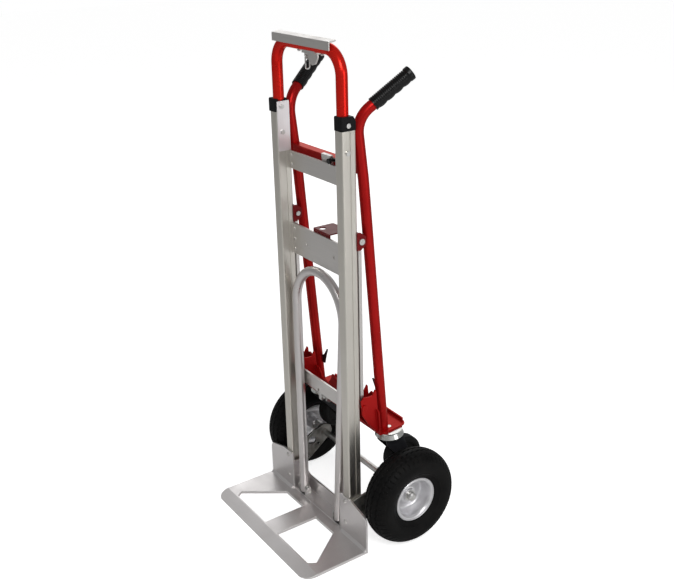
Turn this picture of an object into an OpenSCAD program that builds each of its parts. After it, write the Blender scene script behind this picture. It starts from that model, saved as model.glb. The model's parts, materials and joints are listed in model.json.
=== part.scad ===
// Convertible hand truck: two extruded rails on a cast toe plate, a fold-down nose extension,
// two air wheels, and a red rear frame with swivel casters and grips that swings on two arms
// over the back of the truck to make a four-wheel cart.
// Axes: X across the truck, -Y forward over the toe plate, +Y towards the wheels, Z up, floor at z = 0.

/* [Rails] */
// Distance between the centre lines of the two rails
rail_span = 274; // [268:1:275]
// Width of a rail across the truck
rail_w = 28; // [26:0.5:28]
// Depth of a rail from front to back
rail_d = 38; // [36:0.5:38]
// Height of the top of the rails above the floor
rail_top = 1085; // [1080:1:1086]

/* [Handle loop] */
// Diameter of the handle loop's tube
loop_d = 26.7; // [25:0.1:27]
// Height of the centre line of the handle's cross tube
loop_z = 1229; // [1222:0.5:1234]
// Bend radius of the handle loop at the tube's centre line
loop_bend = 55; // [45:1:75]
// Length of the angle cover on top of the loop
cover_len = 234; // [200:2:236]

/* [Toe plate] */
// Width of the toe plate
toe_w = 456; // [430:2:480]
// Reach of the toe plate in front of the rails
toe_reach = 188; // [160:1:220]
// Thickness of the toe plate
toe_t = 8; // [6:0.5:9]
// Height of the upright flanges at the rails
flange_h = 121; // [112:1:124]

/* [Wheels] */
// Outside diameter of the air tyres
tyre_d = 254; // [250:1:258]
// Width of the air tyres
tyre_w = 84; // [78:1:86]
// Distance from the middle of the truck to the middle of a tyre
wheel_x = 232; // [230:1:240]
// Distance from the rails' front face back to the axle
axle_y = 127; // [127:1:132]
// Diameter of the axle
axle_d = 16; // [15:0.5:17]

/* [Nose extension] */
// Diameter of the nose extension's tube
nose_d = 24; // [22:0.5:25]
// Height of the nose extension when it is folded up
nose_h = 695; // [660:1:697]

/* [Rear frame] */
// Diameter of the rear frame's tubes
tube_d = 25.4; // [24:0.2:25.4]
// Backward lean of the rear frame's tubes, in degrees
lean = 4.5; // [4:0.1:5]
// Distance between the centre lines of the rear frame's tubes
rear_span = 283; // [282:0.5:284]
// Length of a hand grip
grip_len = 109; // [100:1:114]
// Height of the upper pivot of the swing arms
pivot_z = 802; // [802:0.5:804]

/* [Casters] */
// Diameter of the caster wheels
caster_d = 104; // [96:1:106]
// Width of the caster wheels
caster_w = 32; // [28:1:34]
// Trail of a caster wheel behind its king pin
trail = 34; // [32:1:36]

/* [Hidden] */
$fn = 64;
ease = 0.05;                    // running clearance on a radius
wall = 2.2;                     // wall of the bent tubes
lap = 1;                        // lap of a straight tube over a bend
lap_gain = 0.1;                 // a lapping tube is this much wider
rail_x = rail_span / 2;
rail_in = rail_x - rail_w / 2;
rail_out = rail_x + rail_w / 2;
loop_x = 133.5;                 // handle loop's legs, from the middle
loop_y = 15;                    // handle loop's centre behind the rails' front face
spigot_d = 16.6;                // the loop's swaged ends
spigot_z = 985;
swage_h = 5;
bolt_d = 6;
handle_bolt_z = [1012, 1073];
cover_x = -7;                   // middle of the angle cover
cover_back = 18;
plate_t = 1.5;                  // plates on the rails' inner sides at the handle bolts
axle_z = tyre_d / 2;
rim_r = 50;
rim_flange_r = 58;
rim_half = 29;
hub_in = wheel_x - 36;
hub_out = wheel_x + 5;
bearing_r = 14;
bracket_in = rail_out + 0.5;
bracket_t = 6;
cross_y = 33;                   // front face of the cross plates
cross_t = 5;
upper_plate = [920, 44];        // lower edge and height of each cross plate
middle_plate = [699, 80];
lower_bar = [338, 38];
nose_lock_z = 324;
pivot_y = 46;
arm_w = 22;
arm_d = 9;
pin_d = 6;
rear_x = rear_span / 2;
frame_y = 53.5;                 // the rear frame's own origin, level with the grips' bends
frame_z = 1064;
kink_z = -124;                  // the tubes lean forward a little above here
kink_turn = 2.3;
kink_bend = 150;
neck_len = 100;
grip_bend = 65;
grip_turn = 60.2;
grip_splay = 17.7;
grip_start = 9.5;               // bare tube between the bend and the grip
tube_foot = -780;               // lower end of the rear tubes, along the tube
shelf_t = 4;
arm_foot = [-62, -692];         // lower arm pivot in the rear frame, [across, along the tube]
arm_foot_y = frame_y + cos(lean) * arm_foot[0] - sin(lean) * arm_foot[1];
arm_foot_z = frame_z + sin(lean) * arm_foot[0] + cos(lean) * arm_foot[1];
king = [150, 12, tube_foot - shelf_t];
bar_y = -1.5;                   // middle of the rear cross bar
latch_x = 25;
caster_drop = 94;               // wheel centre below the shelf
race_h = 16;                    // height of a caster's raceway
nose_pivot = [11, 26];          // [y, z]
pad_t = 1.5;                    // raised pad under the nose extension's lugs
nose_lean = 1.4;
nose_foot_x = 84;
nose_x = 104.5;
nose_toe_in = 2.3;

// ---------- shared helpers ----------

module both_sides() {
    children();
    mirror([1, 0, 0]) children();
}

module on_side(side) {
    if (side > 0) children();
    else mirror([1, 0, 0]) children();
}

// A bar along X between two planes
module x_bar(x0, x1, d, y, z) {
    translate([x0, y, z]) rotate([0, 90, 0]) cylinder(h = x1 - x0, d = d);
}

// A plate in the YZ plane, its outline given as [y, z]
module yz_plate(x0, t) {
    translate([x0, 0, 0]) rotate([90, 0, 90]) linear_extrude(t) children();
}

// A plate in the XZ plane, its outline given as [x, z], from y0 back by t
module xz_plate(y0, t) {
    translate([0, y0 + t, 0]) rotate([90, 0, 0]) linear_extrude(t) children();
}

module rounded_rect(x0, y0, x1, y1, r) {
    translate([x0 + r, y0]) square([x1 - x0 - 2 * r, y1 - y0]);
    translate([x0, y0 + r]) square([x1 - x0, y1 - y0 - 2 * r]);
    for (x = [x0 + r, x1 - r], y = [y0 + r, y1 - r]) translate([x, y]) circle(r);
}

// A bend that leaves the origin along +Z and turns towards +Y
module tube_bend(radius, turn, d) {
    translate([0, radius, 0]) rotate([90, 0, -90])
        rotate_extrude(angle = turn) translate([radius, 0]) circle(d = d);
}

// A revolved solid about the X axis, its outline given as [radius, x]
module x_revolve() {
    rotate([0, 90, 0]) rotate_extrude() children();
}

// The rear frame's own axes: Z runs up its tubes from the start of the grip bends
module in_rear_frame() {
    translate([0, frame_y, frame_z]) rotate([lean, 0, 0]) children();
}

// ---------- rails and their caps ----------

module rail_outline() {
    difference() {
        rounded_rect(-rail_w / 2, 0, rail_w / 2, rail_d, 4);
        rounded_rect(-12, 2.5, 12, 24, 2);
        rounded_rect(-10, 28, 10, rail_d - 2, 1.5);
        for (s = [-1, 1]) translate([s * (rail_w / 2) - 1.2, 19.5]) square([2.4, 3]);
    }
}

module rail(side) {
    color("silver") on_side(side) difference() {
        translate([rail_x, 0, toe_t]) linear_extrude(rail_top - toe_t) rail_outline();
        for (z = handle_bolt_z) x_bar(rail_in - 1, rail_out + 1, bolt_d + 0.4, loop_y, z);
        for (z = [45, 108]) translate([rail_x, -1, z]) rotate([-90, 0, 0]) cylinder(h = 5, d = bolt_d + 0.4);
    }
}

module rail_caps() {
    cap_wall = 2.5;
    cap_z = 1061;
    cap_top = 1092;
    color("#1b1b1d") both_sides() difference() {
        intersection() {
            translate([0, 0, cap_z]) linear_extrude(cap_top - cap_z)
                rounded_rect(rail_in, -cap_wall, rail_out + cap_wall, rail_d, 4);
            yz_plate(rail_in, rail_w + cap_wall) polygon([
                [-3, cap_z], [rail_d, cap_z], [rail_d, cap_z + 17], [30, cap_top],
                [1, cap_top], [-3, cap_top - 4]
            ]);
        }
        translate([rail_x, 0, cap_z - 1]) linear_extrude(rail_top - cap_z + 1)
            rounded_rect(-rail_w / 2, 0, rail_w / 2, rail_d + 1, 4);
        translate([loop_x, loop_y, rail_top - 1]) cylinder(h = 20, d = loop_d + 0.2);
        x_bar(rail_in - 1, rail_out + 5, bolt_d + 0.4, loop_y, handle_bolt_z[1]);
    }
}

// ---------- handle loop ----------

module loop_path(d, extra) {
    foot = rail_top + swage_h;
    straight = loop_z - loop_bend - foot;
    both_sides() {
        translate([loop_x, loop_y, foot - extra]) cylinder(h = straight + extra, d = d);
        translate([loop_x, loop_y, foot + straight]) rotate([0, 0, 90]) tube_bend(loop_bend, 90, d);
    }
    x_bar(-loop_x + loop_bend, loop_x - loop_bend, d, loop_y, loop_z);
}

// The loop's lower ends are swaged down to spigots that stand inside the rails
module handle_loop() {
    color("#c8161d") difference() {
        union() {
            loop_path(loop_d, 0);
            both_sides() translate([loop_x, loop_y, 0]) {
                translate([0, 0, rail_top + 0.2]) cylinder(h = swage_h - 0.2, d1 = spigot_d, d2 = loop_d);
                translate([0, 0, spigot_z]) cylinder(h = rail_top + 0.2 - spigot_z, d = spigot_d);
            }
        }
        loop_path(loop_d - 2 * wall, 0);
        both_sides() translate([loop_x, loop_y, spigot_z - 1])
            cylinder(h = rail_top + swage_h - spigot_z + 1, d = spigot_d - 2 * wall);
        for (z = handle_bolt_z) x_bar(-rail_out - 1, rail_out + 1, bolt_d + 0.4, loop_y, z);
    }
}

module handle_plates() {
    z0 = upper_plate[0] + upper_plate[1] + 1;
    color("silver") both_sides() difference() {
        yz_plate(rail_in - plate_t, plate_t) rounded_rect(2, z0, rail_d - 2, rail_top + 1, 3);
        for (z = handle_bolt_z) x_bar(rail_in - 3, rail_in + 1, bolt_d + 0.4, loop_y, z);
    }
}

module handle_bolts() {
    head = 3.5;
    color("lightgray") both_sides() for (i = [0, 1]) {
        z = handle_bolt_z[i];
        outer = rail_out + (i == 1 ? 2.5 : 0);
        inner = rail_in - plate_t;
        x_bar(inner - head, outer, bolt_d, loop_y, z);
        x_bar(outer, outer + head, 11, loop_y, z);
        translate([inner - head, loop_y, z]) rotate([0, 90, 0]) cylinder(h = head, d = 12, $fn = 6);
    }
}

module handle_cover() {
    front = loop_y - loop_d / 2 - 0.2;
    top = loop_z + loop_d / 2;
    color("#a9abae") yz_plate(cover_x - cover_len / 2, cover_len) polygon([
        [front - 3, loop_z - 1], [front, loop_z - 1], [front, top + 1.2], [cover_back, top + 4.4],
        [cover_back, top + 7.8], [front - 1.5, top + 4.6], [front - 3, top + 3]
    ]);
}

module cover_screws() {
    color("lightgray") for (x = [-33, 62]) translate([x, loop_y, loop_z - loop_d / 2 - 4.2]) {
        cylinder(h = 3, d1 = 6, d2 = 9);
        translate([0, 0, 3]) cylinder(h = 1.2, d = 9);
    }
}

module ring_bracket() {
    color("#a9abae") difference() {
        union() {
            xz_plate(loop_y - 2, 4) polygon([
                [-9, 1222], [-9, 1204], [-4, 1198], [6, 1198],
                [20, 1186], [34, 1190], [44, 1204], [44, 1222]
            ]);
            translate([-9, loop_y - 9, 1212]) cube([53, 18, 7]);
        }
        x_bar(-60, 60, loop_d + 0.1, loop_y, loop_z);
        translate([0, loop_y - 20, 1206]) rotate([-90, 0, 0]) cylinder(h = 40, d = 8);
    }
}

// A long ring of round wire that hangs in the YZ plane from the bracket's hole
module pull_ring() {
    wire = 3.2;
    half_w = 5.5;
    bend = 4.5;
    ring_h = 30;
    color("silver") translate([0, loop_y, 1206]) {
        translate([0, -half_w + bend, 0]) rotate([-90, 0, 0]) cylinder(h = 2 * (half_w - bend), d = wire);
        translate([0, -half_w + bend, -ring_h]) rotate([-90, 0, 0]) cylinder(h = 2 * (half_w - bend), d = wire);
        for (s = [-1, 1]) {
            translate([0, s * half_w, -ring_h + bend]) cylinder(h = ring_h - 2 * bend, d = wire);
            mirror([0, s < 0 ? 1 : 0, 0]) {
                translate([0, half_w, -bend]) mirror([0, 1, 0]) tube_bend(bend, 90, wire);
                translate([0, half_w, -ring_h + bend]) mirror([0, 0, 1]) mirror([0, 1, 0])
                    tube_bend(bend, 90, wire);
            }
        }
    }
}

// ---------- cross plates ----------

module upper_cross_plate() {
    color("silver") translate([-rail_in, cross_y, upper_plate[0]])
        cube([2 * rail_in, cross_t, upper_plate[1]]);
}

module middle_cross_plate() {
    color("silver") difference() {
        translate([-rail_in, cross_y, middle_plate[0]]) cube([2 * rail_in, cross_t, middle_plate[1]]);
        for (s = [-1, 1]) translate([s * 60, cross_y - 1, 739]) rotate([-90, 0, 0]) cylinder(h = 2.5, d = 9);
    }
}

module lower_cross_bar() {
    color("silver") difference() {
        translate([-rail_in, cross_y, lower_bar[0]]) cube([2 * rail_in, cross_t, lower_bar[1]]);
        translate([-30, cross_y - 1, 344]) rotate([-90, 0, 0]) cylinder(h = 20, d = 8.2);
    }
}

// Rivet heads on the front of the cross plates, close to the rails
module cross_plate_rivets() {
    color("gainsboro") both_sides() for (z = [931, 953, 712, 739, 766, 348, 366])
        translate([rail_in - 9, cross_y - 2, z]) rotate([-90, 0, 0]) cylinder(h = 2, d1 = 5, d2 = 8);
}

// Red keeper on the middle cross plate, with a round eye
module catch_bracket() {
    color("#b3141b") difference() {
        union() {
            translate([-35, cross_y + cross_t, 776]) cube([70, 3, 12]);
            translate([0, 0, 785]) linear_extrude(3) rounded_rect(-35, cross_y + cross_t, 35, 96, 6);
            translate([-30, 91, 770]) cube([60, 3, 16]);
        }
        translate([-16, 52, 780]) cylinder(h = 12, d = 18);
    }
}

module nose_lock_barrel() {
    color("lightgray") difference() {
        union() {
            x_bar(-44, -12, 13, cross_y + 14, nose_lock_z);
            translate([-36, cross_y + cross_t, nose_lock_z - 10]) cube([12, 8, 36]);
        }
        x_bar(-60, 0, 7 + 2 * ease, cross_y + 14, nose_lock_z);
    }
}

module nose_lock_pin() {
    color("silver") {
        x_bar(-52, -4, 7, cross_y + 14, nose_lock_z);
        x_bar(-4, 0, 16, cross_y + 14, nose_lock_z);
        x_bar(-56, -52, 12, cross_y + 14, nose_lock_z);
    }
}

// ---------- toe plate ----------

module toe_window() {
    polygon([[30, -28], [115, -28], [190, -130], [178, -148], [30, -148]]);
}

module toe_outline() {
    half = toe_w / 2;
    corner = 32;
    difference() {
        union() {
            translate([-half, -toe_reach + corner]) square([toe_w, toe_reach - corner]);
            translate([-half + corner, -toe_reach]) square([toe_w - 2 * corner, toe_reach]);
            for (s = [-1, 1]) translate([s * (half - corner), -toe_reach + corner]) circle(corner);
            translate([-160, -1]) square([320, rail_d + 1]);
        }
        toe_window();
        mirror([1, 0]) toe_window();
    }
}

module flange_outline() {
    half = toe_w / 2;
    corner = 20;
    difference() {
        union() {
            polygon([[113, 0], [half, 0], [half, flange_h - 33], [half - corner, flange_h - 13],
                     [160, flange_h], [119, flange_h], [113, flange_h - 6]]);
            translate([half - corner, flange_h - 33]) circle(corner);
            translate([119, flange_h - 6]) circle(6);
        }
        translate([rail_x, 108]) circle(d = bolt_d + 0.4);
        translate([rail_x, 45]) circle(d = bolt_d + 0.4);
    }
}

module pocket_wall_outline() {
    wide = 118;
    difference() {
        translate([-wide, 0]) square([2 * wide, 96]);
        translate([-wide + 34, 52]) square([2 * (wide - 34), 60]);
        translate([-wide + 12, 74]) square([2 * (wide - 12), 40]);
        for (s = [-1, 1]) translate([s * (wide - 34), 74]) circle(22);
    }
}

module toe_plate() {
    color("#c9cacc") {
        intersection() {
            linear_extrude(toe_t) toe_outline();
            yz_plate(-toe_w / 2, toe_w) polygon([
                [-toe_reach, 0], [-toe_reach, 2.2], [-toe_reach + 36, toe_t], [rail_d, toe_t], [rail_d, 0]
            ]);
        }
        both_sides() {
            xz_plate(-5, 5) flange_outline();
            translate([113, -1, 1]) cube([5, 33, 95]);
            yz_plate(120, 106) polygon([[-5, toe_t - 1], [-11, toe_t - 1], [-11, toe_t], [-5, toe_t + 6]]);
        }
        xz_plate(31, 5) pocket_wall_outline();
        translate([-114, -1, 1]) cube([228, 33, toe_t + pad_t - 1]);
    }
}

module toe_bolts() {
    color("lightgray") both_sides() for (z = [45, 108]) translate([rail_x, 0, z]) {
        translate([0, -8.5, 0]) rotate([-90, 0, 0]) cylinder(h = 3.5, d1 = 8, d2 = 13);
        translate([0, -5, 0]) rotate([-90, 0, 0]) cylinder(h = 12, d = bolt_d);
    }
}

// ---------- axle and air wheels ----------

module axle_bracket_outline() {
    difference() {
        union() {
            polygon([[4, 40], [58, 44], [76, 60], [axle_y + 14, axle_z - 18], [axle_y, axle_z + 22],
                     [92, 141], [60, 124], [4, 112]]);
            translate([axle_y, axle_z]) circle(23);
        }
        translate([axle_y, axle_z]) circle(d = axle_d + 2 * ease);
        translate([85, 112]) circle(13);
        translate([60, 84]) circle(9);
        translate([58, 108]) circle(5);
        translate([104, 96]) circle(5);
        translate([70, 64]) circle(3.2);
    }
}

module axle_bracket(side) {
    color("#b9babc") on_side(side) difference() {
        union() {
            yz_plate(bracket_in, bracket_t) axle_bracket_outline();
            x_bar(bracket_in, bracket_in + 18, 32, axle_y, axle_z);
        }
        x_bar(bracket_in - 1, bracket_in + 19, axle_d + 2 * ease, axle_y, axle_z);
    }
}

module axle() {
    color("gray") x_bar(-hub_out - 8, hub_out + 8, axle_d, axle_y, axle_z);
}

module axle_spacers() {
    color("gray") both_sides() difference() {
        x_bar(bracket_in + 18.2, hub_in - 2.2, 24, axle_y, axle_z);
        x_bar(bracket_in + 18, hub_in, axle_d + 2 * ease, axle_y, axle_z);
    }
}

module axle_washers() {
    color("silver") both_sides() for (x = [hub_in - 2, hub_out + 0.2]) difference() {
        x_bar(x, x + 1.8, 30, axle_y, axle_z);
        x_bar(x - 1, x + 4, axle_d + 2 * ease, axle_y, axle_z);
    }
}

module axle_end_caps() {
    color("silver") both_sides() difference() {
        union() {
            x_bar(hub_out + 2.2, hub_out + 11, 22, axle_y, axle_z);
            translate([hub_out + 11, axle_y, axle_z]) rotate([0, 90, 0]) cylinder(h = 2, d1 = 22, d2 = 16);
        }
        x_bar(hub_out + 1, hub_out + 8.1, axle_d + 2 * ease, axle_y, axle_z);
    }
}

// Half sections are drawn as [radius, distance from the wheel's middle]
module tyre_section() {
    tread = tyre_d / 2;
    half = tyre_w / 2;
    difference() {
        union() {
            intersection() {
                translate([tread - 36, 0]) circle(half);
                translate([rim_r, -half]) square([tread - rim_r, 2 * half]);
            }
            translate([rim_r + 0.2, -rim_half + 3]) square([20, 2 * rim_half - 6]);
            translate([rim_r + 8, -half + 5]) square([tread - rim_r - 14, 2 * half - 10]);
        }
        translate([tread - 38, 0]) circle(half - 10);
        translate([rim_r - 1, -rim_half + 12]) square([16, 2 * rim_half - 24]);
        for (s = [-1, 1]) translate([rim_r - 1, s * (rim_half + 16) - 20])
            square([rim_flange_r - rim_r + 3.6, 40]);
    }
}

module tyre(side) {
    groove = 3.5;
    color("#1d1d1f") on_side(side) translate([wheel_x, axle_y, axle_z]) x_revolve() difference() {
        tyre_section();
        for (x = [-20, 0, 20]) translate([tyre_d / 2 - groove, x - 2]) square([10, 4]);
    }
}

module rim_section() {
    sheet = 2.6;
    translate([rim_r - sheet, -rim_half]) square([sheet, 2 * rim_half]);
    for (s = [-1, 1]) {
        translate([rim_r - sheet, s * rim_half - (s > 0 ? sheet : 0)])
            square([rim_flange_r - rim_r + sheet, sheet]);
        translate([rim_flange_r, s * (rim_half - sheet / 2)]) circle(2.4);
    }
    polygon([[17.2, 0], [24, 0], [34, -8], [rim_r - sheet + 0.1, -8], [rim_r - sheet + 0.1, -8 - sheet],
             [33, -8 - sheet], [23, -sheet], [17.2, -sheet]]);
}

module rim(side) {
    color("#b4b6b9") on_side(side) translate([wheel_x, axle_y, axle_z]) difference() {
        x_revolve() rim_section();
        for (a = [45:90:315]) rotate([a, 0, 0]) x_bar(-20, 10, 7, 28.5, 0);
        rotate([160, 0, 0]) x_bar(-20, 10, 8.2, 41, 0);
    }
}

module wheel_hub(side) {
    color("#9b9da0") on_side(side) difference() {
        x_bar(hub_in, hub_out, 34, axle_y, axle_z);
        x_bar(hub_in - 1, hub_out + 1, 2 * bearing_r, axle_y, axle_z);
    }
}

module wheel_bearings(side) {
    race = 10;
    color("silver") on_side(side) for (x = [hub_in, hub_out - race]) difference() {
        x_bar(x, x + race, 2 * bearing_r - 0.04, axle_y, axle_z);
        x_bar(x - 1, x + race + 1, axle_d + 2 * ease, axle_y, axle_z);
    }
}

module valve(side) {
    color("#161616") on_side(side) translate([wheel_x, axle_y, axle_z]) rotate([160, 0, 0]) {
        x_bar(-18, 8, 8, 41, 0);
        x_bar(8, 14, 6, 41, 0);
    }
}

// ---------- nose extension ----------

module in_nose_frame() {
    translate([0, nose_pivot[0], nose_pivot[1]]) rotate([-nose_lean, 0, 0]) children();
}

module nose_path(d, extra) {
    arch_z = nose_h - nose_pivot[1] - nose_x - nose_d / 2;
    leg = (arch_z - nose_x * sin(nose_toe_in) + 11) / cos(nose_toe_in);
    both_sides() translate([nose_x * cos(nose_toe_in), 0, arch_z - nose_x * sin(nose_toe_in)])
        rotate([0, nose_toe_in, 0]) translate([0, 0, -leg - extra])
            cylinder(h = leg + extra + lap, d = d + lap_gain);
    translate([0, 0, arch_z]) rotate([90, 0, 0]) rotate([0, 0, -nose_toe_in])
        rotate_extrude(angle = 180 + 2 * nose_toe_in) translate([nose_x, 0]) circle(d = d);
}

module nose_loop() {
    color("#cfd0d2") in_nose_frame() difference() {
        nose_path(nose_d, 0);
        nose_path(nose_d - 4, 1);
        x_bar(-130, 130, 8 + 2 * ease, 0, 0);
    }
}

module nose_feet() {
    color("#141414") in_nose_frame() both_sides() translate([nose_foot_x - 0.6, 0, -14.2])
        rotate([0, nose_toe_in, 0]) cylinder(h = 3, d1 = nose_d - 10, d2 = nose_d);
}

module nose_lugs() {
    color("silver") both_sides() for (x = [66.5, 97.5]) yz_plate(x, 3) difference() {
        union() {
            translate([nose_pivot[0], nose_pivot[1]]) circle(9);
            translate([nose_pivot[0] - 9, toe_t + pad_t]) square([18, nose_pivot[1] - toe_t - pad_t]);
        }
        translate([nose_pivot[0], nose_pivot[1]]) circle(d = 8 + 2 * ease);
    }
}

module nose_pins() {
    color("lightgray") both_sides() {
        x_bar(64, 102.5, 8, nose_pivot[0], nose_pivot[1]);
        x_bar(102.5, 105, 12, nose_pivot[0], nose_pivot[1]);
        x_bar(62, 64, 12, nose_pivot[0], nose_pivot[1]);
    }
}

// ---------- swing arms ----------

module arm_bracket(side) {
    cheek = 3.5;
    z0 = 781;
    color("#b3141b") on_side(side) difference() {
        union() {
            for (x = [rail_in - cheek, rail_out]) yz_plate(x, cheek)
                polygon([[35, z0], [44, z0], [59, 792], [59, 812], [44, 824], [35, 824]]);
            translate([rail_in, rail_d, z0]) cube([rail_w, 3, 43]);
        }
        x_bar(rail_in - 5, rail_out + 5, pin_d + 2 * ease, pivot_y, pivot_z);
    }
}

module arm(side) {
    y0 = pivot_y - arm_d / 2;
    color("silver") on_side(side) difference() {
        union() {
            translate([rail_x - arm_w / 2, y0, arm_foot_z]) cube([arm_w, arm_d, pivot_z - arm_foot_z]);
            for (z = [arm_foot_z, pivot_z]) x_bar(rail_x - arm_w / 2, rail_x + arm_w / 2, arm_d, pivot_y, z);
        }
        for (z = [arm_foot_z, pivot_z]) x_bar(rail_in - 1, rail_out + 1, pin_d + 2 * ease, pivot_y, z);
        translate([rail_x - arm_w / 2 + 3, y0 + 3, arm_foot_z + 20])
            cube([arm_w - 6, arm_d, pivot_z - arm_foot_z - 40]);
    }
}

module arm_pin(z, head_gap) {
    x_bar(rail_in - head_gap - 2, rail_out + head_gap, pin_d, pivot_y, z);
    x_bar(rail_out + head_gap, rail_out + head_gap + 3.5, 15, pivot_y, z);
    x_bar(rail_in - head_gap - 4.5, rail_in - head_gap - 2, 12, pivot_y, z);
}

module arm_pins_upper() {
    color("lightgray") both_sides() arm_pin(pivot_z, 3.7);
}

module arm_pins_lower() {
    color("lightgray") both_sides() arm_pin(arm_foot_z, 5.2);
}

// ---------- rear frame ----------

// The straight neck above the kink, its own Z along the tube
module in_neck(side) {
    on_side(side) translate([
        rear_x, -kink_bend * (1 - cos(kink_turn)), kink_z + kink_bend * sin(kink_turn)
    ]) rotate([kink_turn, 0, 0]) children();
}

// The straight tube inside a grip, its own Z along the grip
module in_grip(side) {
    in_neck(side) translate([0, 0, neck_len]) rotate([0, 0, -grip_splay])
        translate([0, grip_bend * (1 - cos(grip_turn)), grip_bend * sin(grip_turn)])
        rotate([-grip_turn, 0, 0]) children();
}

module rear_tube(side, d, extra) {
    lap_d = d + lap_gain;
    on_side(side) translate([rear_x, 0, 0]) {
        translate([0, 0, tube_foot - extra]) cylinder(h = kink_z - tube_foot + extra + lap, d = lap_d);
        translate([0, 0, kink_z]) mirror([0, 1, 0]) tube_bend(kink_bend, kink_turn, d);
    }
    in_neck(side) translate([0, 0, -lap]) cylinder(h = neck_len + 2 * lap, d = lap_d);
    in_neck(side) translate([0, 0, neck_len]) rotate([0, 0, -grip_splay]) tube_bend(grip_bend, grip_turn, d);
    in_grip(side) translate([0, 0, -lap]) cylinder(h = grip_start + grip_len - 5 + extra + lap, d = lap_d);
}

module rear_tubes() {
    color("#b3141b") in_rear_frame() for (s = [-1, 1]) difference() {
        rear_tube(s, tube_d, 0);
        rear_tube(s, tube_d - 2 * wall, 1);
    }
}

module rear_cross_bar() {
    color("#b3141b") in_rear_frame() difference() {
        translate([-rear_x, bar_y - 10, -107]) cube([2 * rear_x, 20, 20]);
        translate([-rear_x - 1, bar_y - 8, -105]) cube([2 * rear_x + 2, 16, 16]);
        for (s = [-1, 1]) in_neck(s) translate([0, 0, -20])
            cylinder(h = neck_len, d = tube_d + lap_gain + 0.04);
    }
}

// Half outline of the shelf's upright front sheet, [x, along the tube]
module shelf_front_outline() {
    polygon([
        [0, tube_foot - shelf_t], [0, -702], [24, -697], [37, -692], [42, -706], [60, -728],
        [84, -726], [100, -700], [122, -697], [124, -682], [138, -666], [150, -670], [156, -708],
        [165, -716], [165, tube_foot - shelf_t]
    ]);
}

module gusset_outline() {
    difference() {
        union() {
            polygon([
                [-69, -672], [-60, -664], [-44, -668], [-34, -668], [-25, -655], [-22, -660],
                [-22, tube_foot], [-24, -782], [-54, -742], [-69, -712]
            ]);
            translate(arm_foot) circle(7.5);
        }
        translate(arm_foot) circle(d = pin_d + 2 * ease);
    }
}

module caster_shelf() {
    gusset_t = 3.5;
    color("#b3141b") in_rear_frame() difference() {
        union() {
            translate([0, 0, tube_foot - shelf_t]) linear_extrude(shelf_t) {
                rounded_rect(-167, -27, 167, 56, 14);
                translate([-165, -27]) square([330, 30]);
            }
            both_sides() {
                xz_plate(-27, 4) shelf_front_outline();
                yz_plate(rail_out + 1.6, gusset_t) gusset_outline();
                yz_plate(rail_in - 1.6 - gusset_t, gusset_t) gusset_outline();
                translate([30, 52, tube_foot - 1]) cube([122, 4, 9]);
            }
        }
        both_sides() translate([king[0], king[1], tube_foot - shelf_t - 1])
            cylinder(h = shelf_t + 2, d = 12.2);
    }
}

// Dark horns beside the rear tubes that catch on the load's edge
module shelf_claws() {
    color("#232022") in_rear_frame() both_sides() xz_plate(5.5, 3) polygon([
        [129.8, -706], [129.8, -684], [119, -677], [104, -656], [101, -658], [112, -682], [121, -706]
    ]);
}

module grip(side) {
    radius = 15.2;
    bumps = 4;
    pitch = 24;
    bump_r = 14;
    color("#18181a") in_rear_frame() in_grip(side) translate([0, 0, grip_start]) difference() {
        union() {
            cylinder(h = grip_len - 2, r = radius);
            translate([0, 0, grip_len - 2]) cylinder(h = 2, r1 = radius, r2 = radius - 2);
            cylinder(h = 4, r = radius + 1.8);
            for (i = [0:bumps - 1]) translate([-9, radius - bump_r + 2.4, 19 + pitch * i])
                rotate([0, 90, 0]) cylinder(h = 18, r = bump_r);
        }
        translate([0, 0, -1]) cylinder(h = grip_len - 3, d = tube_d + lap_gain + 0.1);
    }
}

module latch_housing() {
    color("lightgray") in_rear_frame() translate([latch_x, bar_y, 0]) difference() {
        translate([-18, -19, -108]) cube([36, 8.9, 26]);
        x_bar(-30, 30, 8 + 2 * ease, -14.5, -90);
    }
}

module latch_bolt() {
    color("#161616") in_rear_frame() translate([latch_x, bar_y, 0]) {
        x_bar(-16, 34, 8, -14.5, -90);
        translate([26, -24, -90]) rotate([-90, 0, 0]) cylinder(h = 8, d = 7);
        translate([26, -30, -90]) rotate([-90, 0, 0]) cylinder(h = 6, d = 13);
    }
}

// ---------- casters ----------

module at_king_pin(side) {
    in_rear_frame() on_side(side) translate(king) children();
}

module caster_heads() {
    color("#d9dcdc") for (s = [-1, 1]) at_king_pin(s) difference() {
        union() {
            translate([0, 0, -3]) cylinder(h = 3, d = 68);
            translate([0, 0, -race_h]) cylinder(h = race_h - 3, d1 = 74, d2 = 60);
            translate([0, 0, -race_h - 13]) cylinder(h = 13.1, d = 12);
            translate([0, 0, -0.1]) cylinder(h = shelf_t, d = 12);
        }
        translate([0, 0, -race_h - 1]) difference() {
            cylinder(h = 6, d = 52);
            cylinder(h = 6, d = 20);
        }
    }
}

module caster_fork(side) {
    leg_x = caster_w / 2 + 2;
    sheet = 3;
    color("#1c1c1e") at_king_pin(side) difference() {
        union() {
            translate([0, 0, -race_h - 9]) cylinder(h = 8.8, d1 = 56, d2 = 66);
            for (s = [-1, 1]) yz_plate(s > 0 ? leg_x : -leg_x - sheet, sheet) {
                polygon([[-26, -race_h - 2], [26, -race_h - 2], [trail + 12, -caster_drop + 4],
                         [trail + 10, -caster_drop - 8], [trail - 10, -caster_drop - 8], [-24, -35]]);
            }
        }
        translate([0, 0, -race_h - 15]) cylinder(h = 20, d = 12 + 2 * ease);
        x_bar(-40, 40, 8 + 2 * ease, trail, -caster_drop);
        translate([0, 0, -race_h - 34]) cylinder(h = 25, d = 2 * leg_x);
    }
}

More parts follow.
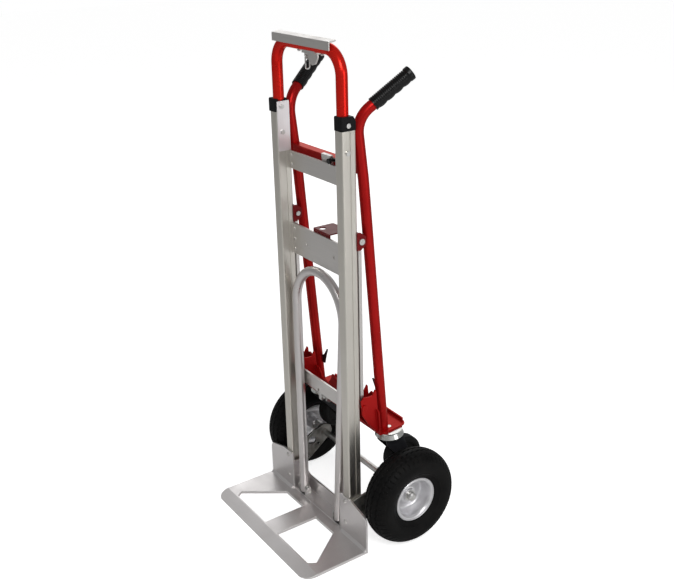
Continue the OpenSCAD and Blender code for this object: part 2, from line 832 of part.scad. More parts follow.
module caster_wheel(side) {
    color("#151515") at_king_pin(side) translate([0, trail, -caster_drop]) difference() {
        x_revolve() {
            difference() {
                union() {
                    translate([caster_d / 2 - 7, -caster_w / 2 + 7]) square([7, caster_w - 14]);
                    translate([4, -caster_w / 2]) square([caster_d / 2 - 11, caster_w]);
                    for (s = [-1, 1]) translate([caster_d / 2 - 7, s * (caster_w / 2 - 7)]) circle(7);
                }
                for (s = [-1, 1]) translate([14, s * caster_w / 2 - 5]) square([20, 10]);
            }
        }
        x_bar(-40, 40, 8 + 2 * ease, 0, 0);
    }
}

module caster_axle(side) {
    leg_x = caster_w / 2 + 5;
    color("lightgray") at_king_pin(side) {
        x_bar(-leg_x - 0.2, leg_x + 0.2, 8, trail, -caster_drop);
        x_bar(leg_x + 0.2, leg_x + 5, 13, trail, -caster_drop);
        translate([-leg_x - 5, trail, -caster_drop]) rotate([0, 90, 0]) cylinder(h = 4.8, d = 14, $fn = 6);
    }
}

rail(-1);  // rail_left
rail(1);  // rail_right
rail_caps();
handle_loop();
handle_plates();
handle_bolts();
handle_cover();
cover_screws();
ring_bracket();
pull_ring();
upper_cross_plate();
middle_cross_plate();
lower_cross_bar();
cross_plate_rivets();
catch_bracket();
nose_lock_barrel();
nose_lock_pin();
toe_plate();
toe_bolts();
axle_bracket(-1);  // axle_bracket_left
axle_bracket(1);  // axle_bracket_right
axle();
axle_spacers();
axle_washers();
axle_end_caps();
tyre(-1);  // tyre_left
tyre(1);  // tyre_right
rim(-1);  // rim_left
rim(1);  // rim_right
wheel_hub(-1);  // wheel_hub_left
wheel_hub(1);  // wheel_hub_right
wheel_bearings(-1);  // wheel_bearings_left
wheel_bearings(1);  // wheel_bearings_right
valve(-1);  // valve_left
valve(1);  // valve_right
nose_loop();
nose_feet();
nose_lugs();
nose_pins();
arm_bracket(-1);  // arm_bracket_left
arm_bracket(1);  // arm_bracket_right
arm(-1);  // arm_left
arm(1);  // arm_right
arm_pins_upper();
arm_pins_lower();
rear_tubes();
rear_cross_bar();
caster_shelf();
shelf_claws();
grip(-1);  // grip_left
grip(1);  // grip_right
latch_housing();
latch_bolt();
caster_heads();
caster_fork(-1);  // caster_fork_left
caster_fork(1);  // caster_fork_right
caster_wheel(-1);  // caster_wheel_left
caster_wheel(1);  // caster_wheel_right
caster_axle(-1);  // caster_axle_left
caster_axle(1);  // caster_axle_right
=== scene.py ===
"""Looks for the convertible hand truck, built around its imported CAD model. Metres, +Z up.

The CAD nodes keep their shapes and get node materials. The tyres, rims, caster wheels and grips are
rebuilt here with finer shapes and stand for their CAD nodes.
"""

import json
import math

import bmesh
import bpy
from mathutils import Matrix, Vector


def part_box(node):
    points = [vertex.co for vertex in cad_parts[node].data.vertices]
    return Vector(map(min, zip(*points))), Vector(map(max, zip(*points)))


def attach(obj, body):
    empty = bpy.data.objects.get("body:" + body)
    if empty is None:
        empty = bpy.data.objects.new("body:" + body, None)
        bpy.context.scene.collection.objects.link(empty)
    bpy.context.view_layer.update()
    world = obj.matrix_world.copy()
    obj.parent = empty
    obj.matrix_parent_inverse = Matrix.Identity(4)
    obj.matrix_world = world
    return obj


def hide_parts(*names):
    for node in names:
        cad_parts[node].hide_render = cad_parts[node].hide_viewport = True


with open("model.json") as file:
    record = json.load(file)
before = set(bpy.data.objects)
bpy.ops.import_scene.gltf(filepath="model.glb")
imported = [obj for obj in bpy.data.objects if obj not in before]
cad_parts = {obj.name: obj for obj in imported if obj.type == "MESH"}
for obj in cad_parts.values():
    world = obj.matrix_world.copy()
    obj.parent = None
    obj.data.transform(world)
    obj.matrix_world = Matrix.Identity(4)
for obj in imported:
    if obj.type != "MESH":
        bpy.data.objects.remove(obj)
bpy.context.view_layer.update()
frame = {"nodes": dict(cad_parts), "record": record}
NODES = frame["nodes"]
MM = 0.001
BEVEL_SAMPLES = 4


# ---------- node materials ----------

class Paint:
    """One node material, with short calls for the textures that it is made from."""

    def __init__(self, name, metallic=0.0, roughness=0.5, specular=0.5):
        self.material = bpy.data.materials.new(name)
        self.material.use_nodes = True
        self.tree = self.material.node_tree
        self.shader = self.tree.nodes["Principled BSDF"]
        self.shader.inputs["Metallic"].default_value = metallic
        self.shader.inputs["Roughness"].default_value = roughness
        self.shader.inputs["Specular IOR Level"].default_value = specular
        self.place = self.tree.nodes.new("ShaderNodeTexCoord").outputs["Object"]

    def node(self, kind, **inputs):
        made = self.tree.nodes.new(kind)
        for key, value in inputs.items():
            self.feed(made.inputs[key.replace("_", " ")], value)
        return made

    def feed(self, socket, value):
        if isinstance(value, bpy.types.NodeSocket):
            self.tree.links.new(value, socket)
        else:
            socket.default_value = value

    def noise(self, scale, stretch=(1, 1, 1), detail=4.0, roughness=0.55):
        """Noise over the object's own coordinates; scale counts features per metre."""
        mapped = self.node("ShaderNodeMapping", Vector=self.place, Scale=stretch).outputs["Vector"]
        made = self.node("ShaderNodeTexNoise", Vector=mapped, Scale=scale, Detail=detail,
                         Roughness=roughness)
        return made.outputs["Fac"]

    def cells(self, scale):
        """Distance from the nearest of many scattered points; scale counts points per metre."""
        return self.node("ShaderNodeTexVoronoi", Vector=self.place, Scale=scale).outputs["Distance"]

    def spread(self, value, low, high, to_low, to_high):
        """value between low and high, stretched to run from to_low to to_high."""
        made = self.node("ShaderNodeMapRange")
        for index, item in enumerate((value, low, high, to_low, to_high)):
            self.feed(made.inputs[index], item)
        return made.outputs[0]

    def mix(self, share, first, second):
        """A colour between first and second."""
        made = self.tree.nodes.new("ShaderNodeMix")
        made.data_type = "RGBA"
        self.feed(made.inputs["Factor"], share)
        for socket, colour in ((made.inputs[6], first), (made.inputs[7], second)):
            self.feed(socket, colour if isinstance(colour, bpy.types.NodeSocket) else (*colour, 1.0))
        return made.outputs[2]

    def maths(self, operation, first, second):
        made = self.tree.nodes.new("ShaderNodeMath")
        made.operation = operation
        self.feed(made.inputs[0], first)
        self.feed(made.inputs[1], second)
        return made.outputs[0]

    def times(self, first, second):
        return self.maths("MULTIPLY", first, second)

    def plus(self, first, second):
        return self.maths("ADD", first, second)

    def colour(self, value):
        self.feed(self.shader.inputs["Base Color"], value)

    def rough(self, value):
        self.feed(self.shader.inputs["Roughness"], value)

    def edge(self, radius):
        """How much a surface point lies on a rounded edge, 0 to 1."""
        bevel = self.node("ShaderNodeBevel", Radius=radius)
        bevel.samples = BEVEL_SAMPLES
        flat = self.node("ShaderNodeNewGeometry").outputs["Normal"]
        dot = self.tree.nodes.new("ShaderNodeVectorMath")
        dot.operation = "DOT_PRODUCT"
        self.feed(dot.inputs[0], bevel.outputs["Normal"])
        self.feed(dot.inputs[1], flat)
        return self.spread(dot.outputs["Value"], 1.0, 0.75, 0.0, 1.0)

    def relief(self, layers, edge_radius=0.0):
        """Bumps from (height, distance) pairs over edges rounded by edge_radius."""
        normal = None
        if edge_radius > 0:
            bevel = self.node("ShaderNodeBevel", Radius=edge_radius)
            bevel.samples = BEVEL_SAMPLES
            normal = bevel.outputs["Normal"]
        for height, distance in layers:
            bump = self.node("ShaderNodeBump", Height=height, Distance=distance, Strength=1.0)
            if normal is not None:
                self.feed(bump.inputs["Normal"], normal)
            normal = bump.outputs["Normal"]
        self.feed(self.shader.inputs["Normal"], normal)


def extruded_aluminium():
    """Mill-finish extrusion: fine die lines up the rail, dull patches and small handling scratches."""
    paint = Paint("extruded_aluminium", metallic=1.0, roughness=0.36)
    lines = paint.noise(700, stretch=(1, 1, 0.006), detail=6)
    cloud = paint.noise(9, stretch=(1, 1, 0.5), detail=5)
    fine = paint.noise(260, stretch=(1, 1, 0.3), detail=3)
    tone = paint.mix(lines, (0.62, 0.595, 0.54), (0.76, 0.73, 0.67))
    paint.colour(paint.mix(paint.spread(cloud, 0.35, 0.7, 0.0, 0.35), tone, (0.56, 0.54, 0.50)))
    dull = paint.spread(cloud, 0.3, 0.7, -0.03, 0.08)
    paint.rough(paint.plus(paint.spread(lines, 0.3, 0.7, 0.26, 0.40), dull))
    paint.relief([(lines, 0.00006), (fine, 0.00003)], edge_radius=0.0009)
    return paint.material


def satin_aluminium():
    """Rolled aluminium sheet and tube with a soft satin grain across it."""
    paint = Paint("satin_aluminium", metallic=1.0, roughness=0.38)
    grain = paint.noise(600, stretch=(0.02, 1, 1), detail=6)
    cloud = paint.noise(14, detail=5)
    paint.colour(paint.mix(grain, (0.60, 0.58, 0.56), (0.72, 0.70, 0.68)))
    dull = paint.spread(cloud, 0.3, 0.7, -0.04, 0.08)
    paint.rough(paint.plus(paint.spread(grain, 0.3, 0.7, 0.30, 0.42), dull))
    paint.relief([(grain, 0.00005)], edge_radius=0.0007)
    return paint.material


def tube_aluminium():
    """Drawn aluminium tube with lines along it and dull handling marks."""
    paint = Paint("tube_aluminium", metallic=1.0, roughness=0.34)
    lines = paint.noise(500, stretch=(1, 1, 0.01), detail=5)
    cloud = paint.noise(22, stretch=(1, 1, 0.4), detail=5)
    paint.colour(paint.mix(cloud, (0.64, 0.61, 0.60), (0.76, 0.73, 0.72)))
    dull = paint.spread(cloud, 0.3, 0.7, -0.02, 0.10)
    paint.rough(paint.plus(paint.spread(lines, 0.3, 0.7, 0.26, 0.36), dull))
    paint.relief([(lines, 0.00004)], edge_radius=0.0005)
    return paint.material


def bright_plate():
    """Rolled sheet with its bright mill face, finer and lighter than the extrusion round it."""
    paint = Paint("bright_plate", metallic=0.85, roughness=0.42)
    grain = paint.noise(500, stretch=(1, 1, 0.02), detail=5)
    cloud = paint.noise(25, detail=5)
    paint.colour(paint.mix(grain, (0.78, 0.75, 0.76), (0.88, 0.85, 0.86)))
    paint.rough(paint.spread(cloud, 0.3, 0.7, 0.36, 0.50))
    paint.relief([(grain, 0.00003)], edge_radius=0.0006)
    return paint.material


def polished_aluminium():
    """Cast plate worn bright, with fine scuffs in every direction, a few long scratches and a painted
    highlight along its rounded edges.
    """
    paint = Paint("polished_aluminium", metallic=1.0, roughness=0.2)
    scuffs = paint.noise(420, stretch=(1, 0.05, 1), detail=7)
    cross = paint.noise(420, stretch=(0.05, 1, 1), detail=7)
    cloud = paint.noise(11, detail=6, roughness=0.6)
    pits = paint.cells(260)
    both = paint.times(scuffs, cross)
    tone = paint.mix(both, (0.74, 0.715, 0.71), (0.88, 0.855, 0.85))
    dulled = paint.mix(paint.spread(cloud, 0.4, 0.75, 0.0, 0.25), tone, (0.66, 0.64, 0.63))
    # painted highlight: the rounded edges are coloured near white
    paint.colour(paint.mix(paint.edge(0.0022), dulled, (0.97, 0.96, 0.95)))
    dull = paint.spread(cloud, 0.35, 0.7, -0.03, 0.07)
    paint.rough(paint.plus(paint.spread(both, 0.15, 0.45, 0.36, 0.46), dull))
    paint.relief([(both, 0.00003), (paint.spread(pits, 0.0, 0.12, 0.0, 1.0), 0.00002)], edge_radius=0.0012)
    return paint.material


def cast_aluminium():
    """Sand-cast arm with a coarse skin and slightly bright edges."""
    paint = Paint("cast_aluminium", metallic=1.0, roughness=0.5)
    skin = paint.noise(900, detail=4)
    cloud = paint.noise(30, detail=4)
    tone = paint.mix(paint.spread(cloud, 0.35, 0.65, 0.0, 1.0), (0.12, 0.115, 0.105), (0.34, 0.33, 0.31))
    paint.colour(paint.mix(paint.edge(0.0014), tone, (0.72, 0.71, 0.69)))
    paint.rough(paint.spread(skin, 0.3, 0.7, 0.42, 0.62))
    paint.relief([(skin, 0.00025)], edge_radius=0.0012)
    return paint.material


def red_enamel(name, deep, bright, gloss, metal=0.0):
    """Powder-coated red with orange-peel, faint tone changes and lighter worn edges."""
    paint = Paint(name, metallic=metal, roughness=gloss, specular=0.3)
    peel = paint.noise(150, detail=1, roughness=0.3)
    cloud = paint.noise(7, detail=4)
    dust = paint.noise(60, detail=6, roughness=0.7)
    tone = paint.mix(paint.spread(cloud, 0.3, 0.7, 0.0, 1.0), deep, bright)
    paint.colour(paint.mix(paint.times(paint.edge(0.0009), 0.25), tone, (0.6, 0.12, 0.10)))
    paint.rough(paint.plus(paint.spread(dust, 0.35, 0.75, 0.0, 0.10), gloss))
    paint.feed(paint.shader.inputs["Specular Tint"], (1.0, 0.45, 0.35, 1.0))
    paint.relief([(peel, 0.00004)], edge_radius=0.0008)
    return paint.material


def zinc_steel(name, warm, cool, gloss):
    """Zinc-plated steel: mottled crystals, faint warm and cool patches."""
    paint = Paint(name, metallic=1.0, roughness=gloss)
    mottle = paint.noise(140, detail=6, roughness=0.6)
    cloud = paint.noise(30, detail=3)
    fine = paint.noise(1500, detail=2)
    paint.colour(paint.mix(paint.spread(mottle, 0.35, 0.65, 0.0, 1.0), warm, cool))
    paint.rough(paint.plus(paint.spread(cloud, 0.3, 0.7, -0.05, 0.10), gloss))
    paint.relief([(fine, 0.00003)], edge_radius=0.0005)
    return paint.material


def wheel_enamel():
    """Silver-grey metallic enamel on the pressed rims."""
    paint = Paint("wheel_enamel", metallic=0.8, roughness=0.36)
    flake = paint.noise(2600, detail=1)
    cloud = paint.noise(26, detail=5)
    tone = paint.mix(flake, (0.64, 0.635, 0.65), (0.82, 0.815, 0.83))
    paint.colour(paint.mix(paint.spread(cloud, 0.45, 0.75, 0.0, 0.3), tone, (0.44, 0.435, 0.44)))
    paint.rough(paint.spread(cloud, 0.3, 0.7, 0.30, 0.44))
    paint.relief([(flake, 0.00003), (paint.noise(300, detail=2), 0.00006)], edge_radius=0.0008)
    return paint.material


def black_rubber(name, dark, dusty, gloss, grain, shine=0.14):
    """Black rubber with a fine skin and a little grey dust in patches."""
    paint = Paint(name, roughness=gloss, specular=shine)
    skin = paint.noise(grain, detail=3)
    dust = paint.noise(24, detail=7, roughness=0.65)
    paint.colour(paint.mix(paint.spread(dust, 0.45, 0.8, 0.0, 1.0), dark, dusty))
    paint.rough(paint.plus(paint.spread(dust, 0.3, 0.75, -0.05, 0.18), gloss))
    paint.relief([(skin, 0.00010)], edge_radius=0.0008)
    return paint.material


def black_moulding():
    """Glass-filled black moulding with a spark-eroded texture."""
    paint = Paint("black_moulding", roughness=0.42, specular=0.05)
    spark = paint.noise(1700, detail=2)
    cloud = paint.noise(40, detail=4)
    paint.colour(paint.mix(cloud, (0.006, 0.006, 0.0065), (0.016, 0.016, 0.017)))
    paint.rough(paint.spread(cloud, 0.3, 0.7, 0.34, 0.50))
    paint.relief([(spark, 0.00012)], edge_radius=0.001)
    return paint.material


def black_enamel():
    """Satin black paint on the caster forks, rubbed grey along its edges."""
    paint = Paint("black_enamel", roughness=0.36, specular=0.2)
    peel = paint.noise(500, detail=2)
    cloud = paint.noise(30, detail=5)
    tone = paint.mix(cloud, (0.010, 0.010, 0.012), (0.024, 0.024, 0.027))
    paint.colour(paint.mix(paint.times(paint.edge(0.001), 0.35), tone, (0.20, 0.20, 0.20)))
    paint.rough(paint.spread(cloud, 0.3, 0.7, 0.28, 0.48))
    paint.relief([(peel, 0.00010)], edge_radius=0.001)
    return paint.material


# ---------- mesh helpers ----------

def add_piece(name, points, faces, material, body, stands_for, crease=35.0):
    """A smooth mesh in metres on a body; it stands for its CAD nodes and takes a record slot's finish."""
    mesh = bpy.data.meshes.new(name)
    mesh.from_pydata([tuple(point) for point in points], [], faces)
    shape = bmesh.new()
    shape.from_mesh(mesh)
    bmesh.ops.remove_doubles(shape, verts=shape.verts, dist=1e-6)
    bmesh.ops.recalc_face_normals(shape, faces=shape.faces)
    for face in shape.faces:
        face.smooth = True
    for edge in shape.edges:
        if edge.is_manifold and edge.calc_face_angle() > math.radians(crease):
            edge.smooth = False
    shape.to_mesh(mesh)
    shape.free()
    mesh.materials.append(material)
    made = bpy.data.objects.new(name, mesh)
    bpy.context.scene.collection.objects.link(made)
    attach(made, body)
    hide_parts(*stands_for)
    return made


def ring_faces(rings, count, closed):
    """Quads between rings of count points each; closed joins the last ring to the first."""
    faces = []
    for ring in range(rings if closed else rings - 1):
        here, after = ring * count, (ring + 1) % rings * count
        for index in range(count):
            turn = (index + 1) % count
            faces.append((here + index, here + turn, after + turn, after + index))
    return faces


def arc(centre, radius, start, end, steps):
    """Points along an arc, as (across, along) pairs, with its angles in degrees."""
    angles = [math.radians(start + (end - start) * step / steps) for step in range(steps + 1)]
    return [(centre[0] + radius * math.cos(a), centre[1] + radius * math.sin(a)) for a in angles]


def lathe(outline, centre, side, steps=192, wobble=None):
    """Turns a closed outline of (radius, distance outwards) in mm about the X axis through centre."""
    points = []
    for radius, out in outline:
        for step in range(steps):
            angle = 2 * math.pi * step / steps
            shift_r, shift_x = wobble(radius, out, angle) if wobble else (0.0, 0.0)
            points.append(centre + Vector((
                side * (out + shift_x) * MM,
                (radius + shift_r) * MM * math.cos(angle),
                (radius + shift_r) * MM * math.sin(angle))))
    return points, ring_faces(len(outline), steps, True)


def middle(node):
    """The middle of a CAD node's box."""
    low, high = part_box(node)
    return (low + high) / 2


# ---------- air wheels ----------

TYRE_RADIUS = 127.0
TYRE_HALF = 42.0
CROWN_STEP = 0.5
CROWN_STEPS = 66
CROWN_SHARE = 0.75
BEAD_RADIUS = 50.3
BEAD_HALF = 24.8
GROOVE_LINES = (-22.0, -7.5, 7.5, 22.0)
GROOVE_HALF = 1.7
GROOVE_DEPTH = 3.2
GROOVE_EDGE = 0.6
ZIGZAGS = 48
ZIGZAG_REACH = 1.6
BLOCK_START = 26.5
BLOCK_DEPTH = 2.2
BLOCK_GAP = 0.16


def tread_outline():
    """A tyre's section: crown with four grooves, shoulders, ringed side walls and beads."""
    crown = []
    for step in range(-CROWN_STEPS, CROWN_STEPS + 1):
        out = step * CROWN_STEP
        round_drop = TYRE_HALF - math.sqrt(TYRE_HALF ** 2 - out ** 2)
        crown.append((TYRE_RADIUS - CROWN_SHARE * round_drop, out))
    shoulder = [(114.0, 34.2), (112.2, 36.2), (109.6, 38.2), (106.6, 39.8)]
    wall = [(104.0, 40.6), (102.6, 40.5), (101.8, 41.1), (99.0, 41.7), (94.0, 41.9), (89.0, 41.7),
            (84.0, 40.7), (79.0, 39.0), (75.0, 37.0), (74.2, 37.1), (73.2, 36.0), (69.6, 33.4),
            (65.6, 30.9), (63.2, 29.6), (61.6, 28.6), (60.9, 27.2), (60.6, 25.6), (60.4, BEAD_HALF)]
    inner = [(BEAD_RADIUS, BEAD_HALF), (BEAD_RADIUS, 16.0), (66.0, 16.0), (72.0, 24.0), (82.0, 31.0),
             (96.0, 32.0)]
    outer = shoulder + wall + inner
    roof = [(112.0, 24.0), (118.0, 10.0)]
    right = crown + outer + roof
    left = [(radius, -out) for radius, out in reversed(shoulder + wall + inner + roof)]
    return right + left


def tread_wobble(radius, out, angle):
    """Zigzag grooves round the crown and small blocks on the shoulders."""
    if radius < 108.0 or abs(out) > 39.0:
        return 0.0, 0.0
    turn = angle / (2 * math.pi) * ZIGZAGS
    swing = abs(turn % 1.0 - 0.5) * 4.0 - 1.0
    drop = 0.0
    for line in GROOVE_LINES:
        inside = GROOVE_HALF + GROOVE_EDGE - abs(out - line - swing * ZIGZAG_REACH)
        if inside > 0.0:
            drop = max(drop, GROOVE_DEPTH * min(1.0, inside / (1.5 * GROOVE_EDGE)))
    if abs(out) > BLOCK_START and (turn + 0.25) % 1.0 < BLOCK_GAP:
        drop = max(drop, BLOCK_DEPTH * min(1.0, (abs(out) - BLOCK_START) / 2.0))
    return -drop, 0.0


def add_tyre(side_name, side, rubber):
    """A pneumatic tyre with grooves round its tread."""
    centre = middle(f"tyre_{side_name}")
    points, faces = lathe(tread_outline(), centre, side, steps=576, wobble=tread_wobble)
    add_piece(f"tyre_body_{side_name}", points, faces, rubber, f"wheel_{side_name}_body",
              [f"tyre_{side_name}"], crease=50.0)


def rim_outline():
    """A pressed rim: a rolled lip at each side, a drop-centre barrel and a dished centre."""
    lip = arc((57.6, 27.4), 1.9, -100, 150, 12)
    far_lip = [(radius, -out) for radius, out in reversed(lip)]
    barrel_out = [(55.4, 25.6), (53.2, 25.2), (50.2, 24.4), (49.9, 18.0), (48.0, 13.0), (47.6, 8.0),
                  (47.6, -8.0), (48.0, -13.0), (49.9, -18.0), (50.2, -24.4), (53.2, -25.2), (55.4, -25.6)]
    barrel_in = [(55.2, -28.6), (52.0, -28.2), (48.6, -25.6), (47.2, -19.0), (45.6, -13.5)]
    dish_back = [(44.4, -11.0), (40.0, -12.4), (34.5, -11.6), (29.0, -8.4), (24.0, -4.2), (21.0, -3.0),
                 (17.2, -2.8)]
    dish_front = [(17.2, 1.4), (20.4, 1.2), (22.4, 0.2), (25.2, -1.8), (30.2, -5.8), (35.2, -8.8),
                  (40.2, -9.5), (43.8, -8.2), (45.2, -4.0), (45.6, 6.0), (46.2, 14.0), (47.4, 20.0),
                  (49.4, 25.4), (52.0, 28.0), (55.4, 28.8)]
    return lip[::-1] + barrel_out + far_lip[::-1] + barrel_in + dish_back + dish_front


def add_rim(side_name, side, enamel):
    """A pressed rim in one piece, its dish turned outwards."""
    centre = middle(f"rim_{side_name}")
    points, faces = lathe(rim_outline(), centre, side, steps=128)
    add_piece(f"rim_body_{side_name}", points, faces, enamel, f"wheel_{side_name}_body",
              [f"rim_{side_name}"], crease=60.0)


# ---------- casters ----------

CASTER_BORE = 4.1


def caster_outline(radius, half, bore):
    """A caster wheel: a rounded tread, a stepped side and a raised hub."""
    corner = 7.0
    right = arc((radius - corner, half - corner), corner, 0, 90, 8)
    right += [(radius - 12.0, half), (radius - 13.0, half - 1.2), (radius - 16.0, half - 1.4),
              (radius - 17.0, half - 4.8), (18.0, half - 5.0), (16.0, half - 3.0), (14.5, half - 0.6),
              (13.0, half), (bore, half)]
    left = [(across, -along) for across, along in reversed(right)]
    return right + left


def add_caster_wheel(side_name, side, rubber):
    """A hard rubber caster wheel."""
    node = f"caster_wheel_{side_name}"
    low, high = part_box(node)
    radius = (high.z - low.z) / 2 / MM
    half = (high.x - low.x) / 2 / MM
    points, faces = lathe(caster_outline(radius, half, CASTER_BORE), middle(node), side, steps=96)
    add_piece(f"caster_roller_{side_name}", points, faces, rubber, f"caster_wheel_{side_name}_body",
              [node], crease=45.0)


# ---------- hand grips ----------

LEAN = math.radians(4.5)
FRAME_ORIGIN = Vector((0, 53.5, 1064)) * MM
TUBE_X = 141.5
KINK = (math.radians(2.3), 150.0, -124.0)
NECK_LENGTH = 100.0
GRIP_SPLAY = math.radians(17.7)
GRIP_BEND = (math.radians(60.2), 65.0)
GRIP_START = 9.5
GRIP_LENGTH = 109.0
GRIP_RADIUS = 15.2
COLLAR_LENGTH = 3.5
COLLAR_HEIGHT = 0.5
RIBS_END = 96.0
RIB_PITCH = 4.8
RIB_HEIGHT = 1.1
RIB_SINK = 0.6
FINGERS_START = 6.0
FINGERS_END = 98.0
FINGER_PITCH = 23.0
FINGER_HEIGHT = 2.3
FLARE_HEIGHT = 1.6
FLARE_LENGTH = 2.5
END_ROUND = 2.5
BORE_RADIUS = 12.8


def slide(x, y, z):
    """A shift by distances in mm."""
    return Matrix.Translation(Vector((x, y, z)) * MM)


def grip_axes():
    """The right grip's own axes: Z along the grip from its inner end, Y on its underside."""
    turn, radius, height = KINK
    bend, bend_radius = GRIP_BEND
    return (Matrix.Translation(FRAME_ORIGIN) @ Matrix.Rotation(LEAN, 4, "X")
            @ slide(TUBE_X, -radius * (1 - math.cos(turn)), height + radius * math.sin(turn))
            @ Matrix.Rotation(turn, 4, "X") @ slide(0, 0, NECK_LENGTH)
            @ Matrix.Rotation(-GRIP_SPLAY, 4, "Z")
            @ slide(0, bend_radius * (1 - math.cos(bend)), bend_radius * math.sin(bend))
            @ Matrix.Rotation(-bend, 4, "X") @ slide(0, 0, GRIP_START))


def grip_radius(along, angle):
    """The grip's outside: fine ribs round the top, four finger bumps below and a flared far end."""
    under = max(0.0, math.sin(angle))
    top = 1.0 - under ** 0.5
    radius = GRIP_RADIUS
    if along < COLLAR_LENGTH:
        radius += COLLAR_HEIGHT
    elif along < RIBS_END:
        place = (along - COLLAR_LENGTH) % RIB_PITCH / RIB_PITCH
        rib = min(1.0, max(0.0, (0.34 - abs(place - 0.5)) / 0.1))
        radius += rib * RIB_HEIGHT * top - RIB_SINK
    if FINGERS_START < along < FINGERS_END:
        finger = abs(math.sin(math.pi * (along - FINGERS_START) / FINGER_PITCH))
        radius += FINGER_HEIGHT * under ** 1.5 * finger ** 0.8
    if along > RIBS_END:
        radius += FLARE_HEIGHT * min(1.0, (along - RIBS_END) / FLARE_LENGTH)
    edge = GRIP_LENGTH - along
    if edge < END_ROUND:
        radius -= END_ROUND - math.sqrt(max(0.0, END_ROUND ** 2 - (END_ROUND - edge) ** 2))
    return radius


def add_grip(side_name, side, rubber):
    """A moulded rubber grip, closed at its far end and hollow over the tube."""
    steps = 64
    ring_gap = 0.8
    count = int(GRIP_LENGTH / ring_gap)
    profile = [(BORE_RADIUS, GRIP_LENGTH - 4.0), (BORE_RADIUS, 0.0)]
    profile += [(None, GRIP_LENGTH * step / count) for step in range(count + 1)]
    profile += [(9.0, GRIP_LENGTH), (8.4, GRIP_LENGTH - 0.8), (0.01, GRIP_LENGTH - 0.8)]
    axes = grip_axes()
    mirror = Matrix.Diagonal((side, 1, 1, 1))
    points = []
    for radius, along in profile:
        for step in range(steps):
            angle = 2 * math.pi * step / steps
            reach = grip_radius(along, angle) if radius is None else radius
            local = Vector((reach * math.cos(angle), reach * math.sin(angle), along)) * MM
            points.append(mirror @ (axes @ local))
    faces = ring_faces(len(profile), steps, False)
    faces.append(tuple(range(steps)))
    add_piece(f"grip_rubber_{side_name}", points, faces, rubber, "rear_frame",
              [f"grip_{side_name}"], crease=40.0)


# ---------- node materials for every CAD node ----------

def paint_nodes(looks):
    """Gives each CAD node one of the materials; looks is {node: material}."""
    for node, made in NODES.items():
        made.data.materials.clear()
        made.data.materials.append(looks[node])


def choose_looks():
    """The material of each CAD node, and of each of the record's material slots."""
    rail = extruded_aluminium()
    satin = satin_aluminium()
    zinc = zinc_steel("zinc_plated_steel", (0.58, 0.57, 0.54), (0.70, 0.70, 0.70), 0.30)
    bright_zinc = zinc_steel("bright_zinc", (0.66, 0.66, 0.60), (0.78, 0.80, 0.80), 0.22)
    loop_red = red_enamel("bright_red_enamel", (0.62, 0.012, 0.008), (0.74, 0.022, 0.014), 0.22, 0.6)
    frame_red = red_enamel("dark_red_enamel", (0.34, 0.006, 0.007), (0.44, 0.010, 0.010), 0.28, 0.5)
    # a darker copy of the red enamel that paints in the shade falling on the catch bracket and the arm
    # brackets
    painted_shade_red = red_enamel("red_enamel_painted_shade", (0.11, 0.003, 0.006), (0.17, 0.005, 0.009), 0.34)
    tyre = black_rubber("tyre_rubber_look", (0.003, 0.003, 0.003), (0.009, 0.0085, 0.008), 0.5, 900, 0.10)
    grip = black_rubber("grip_rubber_look", (0.002, 0.002, 0.002), (0.006, 0.006, 0.007), 0.30, 1500, 0.28)
    tread = black_rubber("caster_tread_look", (0.006, 0.006, 0.006), (0.014, 0.014, 0.013), 0.5, 700)
    by_slot = {
        "rail_aluminium": rail,
        "black_moulding": black_moulding(),
        "red_paint": loop_red,
        "dark_red_paint": frame_red,
        "plain_steel": zinc,
        "satin_aluminium": satin,
        "polished_aluminium": polished_aluminium(),
        "cast_aluminium": cast_aluminium(),
        "tyre_rubber": tyre,
        "grey_rim": wheel_enamel(),
        "black_rubber": grip,
        "caster_tread": tread,
        "black_paint": black_enamel(),
        "zinc_plate": bright_zinc,
    }
    slots = {part["node"]: part["material_slot"] for part in frame["record"]["subparts"]}
    looks = {node: by_slot[name] for node, name in slots.items()}
    looks["nose_loop"] = tube_aluminium()
    looks["handle_plates"] = bright_plate()
    # painted shade: these brackets take the darker red copy instead of the frame's red
    for node in ("catch_bracket", "arm_bracket_left", "arm_bracket_right"):
        looks[node] = painted_shade_red
    return looks, by_slot


LOOKS, BY_SLOT = choose_looks()
paint_nodes(LOOKS)
for SIDE_NAME, SIDE in (("left", -1), ("right", 1)):
    add_tyre(SIDE_NAME, SIDE, BY_SLOT["tyre_rubber"])
    add_rim(SIDE_NAME, SIDE, BY_SLOT["grey_rim"])
    add_caster_wheel(SIDE_NAME, SIDE, BY_SLOT["caster_tread"])
    add_grip(SIDE_NAME, SIDE, BY_SLOT["black_rubber"])


# ---------- camera, floor and light ----------

CAMERA_PLACE = Vector((1.797, -1.1285, 1.516))
CAMERA_AZIMUTH = 55.5
CAMERA_PITCH = 22.4
CAMERA_ROLL = -1.2
CAMERA_LENS = 50.05
CAMERA_SHIFT = (-0.0134, -0.006)
FLOOR_HALF = 14.0
FLOOR_GLOW = 0.72
WORLD_LIGHT = 0.30


def camera_share(tree, seen, lit):
    """seen for what the camera sees directly, and lit for what lights the truck."""
    rays = tree.nodes.new("ShaderNodeLightPath")
    share = tree.nodes.new("ShaderNodeMix")
    share.data_type = "FLOAT"
    share.inputs["A"].default_value = lit
    share.inputs["B"].default_value = seen
    tree.links.new(rays.outputs["Is Camera Ray"], share.inputs["Factor"])
    return share.outputs["Result"]


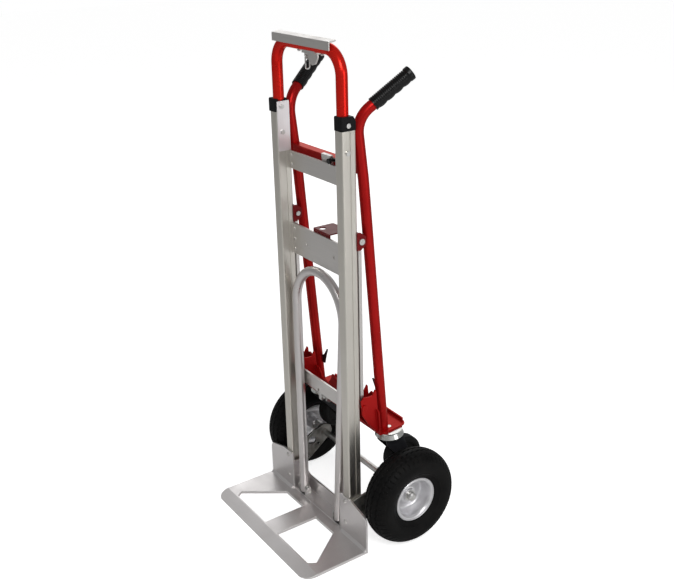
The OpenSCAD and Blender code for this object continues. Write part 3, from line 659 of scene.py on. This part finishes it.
def make_camera():
    """A camera that looks down at the truck from its front right."""
    data = bpy.data.cameras.new("camera")
    data.lens = CAMERA_LENS
    data.sensor_width = 36.0
    data.shift_x, data.shift_y = CAMERA_SHIFT
    data.clip_start = 0.05
    data.clip_end = 60.0
    camera = bpy.data.objects.new("camera", data)
    bpy.context.scene.collection.objects.link(camera)
    turn = Matrix.Rotation(math.radians(CAMERA_AZIMUTH), 4, "Z")
    tilt = Matrix.Rotation(math.radians(90.0 - CAMERA_PITCH), 4, "X")
    roll = Matrix.Rotation(math.radians(CAMERA_ROLL), 4, "Z")
    camera.matrix_world = Matrix.Translation(CAMERA_PLACE) @ turn @ tilt @ roll
    bpy.context.scene.camera = camera


def make_floor():
    """A large plain floor, matt and pale, that looks white from the camera."""
    far = FLOOR_HALF
    corners = [(-far, -far, 0), (far, -far, 0), (far, far, 0), (-far, far, 0)]
    mesh = bpy.data.meshes.new("floor")
    mesh.from_pydata(corners, [], [(0, 1, 2, 3)])
    floor = bpy.data.objects.new("floor", mesh)
    bpy.context.scene.collection.objects.link(floor)
    material = bpy.data.materials.new("floor_white")
    material.use_nodes = True
    shader = material.node_tree.nodes["Principled BSDF"]
    shader.inputs["Base Color"].default_value = (0.9, 0.9, 0.9, 1)
    shader.inputs["Roughness"].default_value = 0.7
    shader.inputs["Specular IOR Level"].default_value = 0.1
    shader.inputs["Emission Color"].default_value = (1, 1, 1, 1)
    tree = material.node_tree
    tree.links.new(camera_share(tree, FLOOR_GLOW, 0.0), shader.inputs["Emission Strength"])
    mesh.materials.append(material)


def area_light(name, place, target, size, power):
    """A soft white light at place that faces target."""
    data = bpy.data.lights.new(name, "AREA")
    data.shape = "RECTANGLE"
    data.size, data.size_y = size
    data.energy = power
    lamp = bpy.data.objects.new(name, data)
    bpy.context.scene.collection.objects.link(lamp)
    aim = (Vector(target) - Vector(place)).to_track_quat("-Z", "Y")
    lamp.matrix_world = Matrix.Translation(Vector(place)) @ aim.to_matrix().to_4x4()


def make_lights():
    """White surroundings, a key light and a low sweep at the right, and a wide panel behind at the left."""
    world = bpy.data.worlds.new("studio")
    world.use_nodes = True
    bpy.context.scene.world = world
    background = world.node_tree.nodes["Background"]
    background.inputs["Color"].default_value = (1, 1, 1, 1)
    tree = world.node_tree
    tree.links.new(camera_share(tree, 1.0, WORLD_LIGHT), background.inputs["Strength"])
    area_light("key", (2.6, -0.9, 3.0), (0, 0, 0.6), (1.3, 1.3), 60)
    area_light("side_sweep", (4.2, 1.2, 1.0), (0, 0, 0.5), (1.6, 2.6), 34)
    area_light("back_panel", (-3.6, 2.6, 2.8), (0, 0, 0.3), (3.4, 2.4), 34)


make_camera()
make_floor()
make_lights()
bpy.context.scene.view_settings.view_transform = "Standard"
